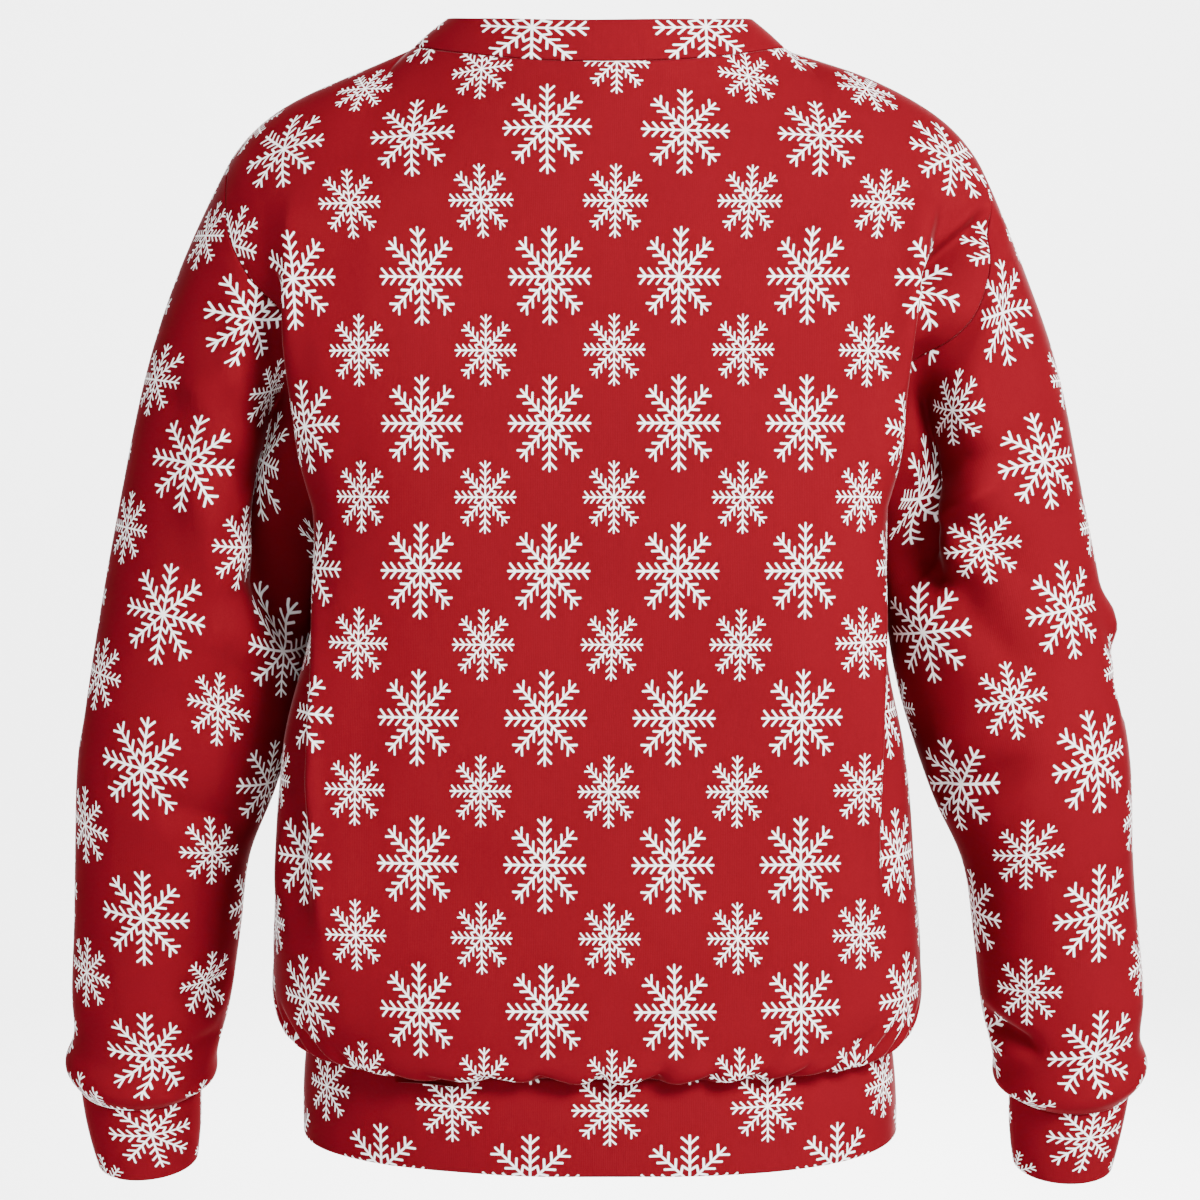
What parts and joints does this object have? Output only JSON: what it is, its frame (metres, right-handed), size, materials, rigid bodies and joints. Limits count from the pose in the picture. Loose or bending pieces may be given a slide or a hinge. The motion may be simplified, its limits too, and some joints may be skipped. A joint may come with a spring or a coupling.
{
  "type": "sweatshirt",
  "caption": "Red crew-neck sweatshirt with a white snowflake print, in its worn shape with nobody inside, with a neck band, cuffs and a hem band.",
  "frame": {"origin": "midway between the neck ends of the two shoulder seams, where the wearer's shoulders carry the garment", "axes": "+X = the wearer's left, +Y = out of the back, +Z = up"},
  "size_m": [0.7538, 0.278, 0.7933],
  "materials": {
    "printed_jersey": "smooth fine jersey with a soft sheen, red with a repeat of white snowflakes",
    "band_jersey": "the same printed jersey, folded double into a band"
  },
  "bodies": {
    "root": {"back": "printed_jersey", "front": "printed_jersey", "left_sleeve": "printed_jersey", "right_sleeve": "printed_jersey", "neck_band": "band_jersey", "hem_band": "band_jersey", "left_cuff": "band_jersey", "right_cuff": "band_jersey"}
  },
  "joints": []
}
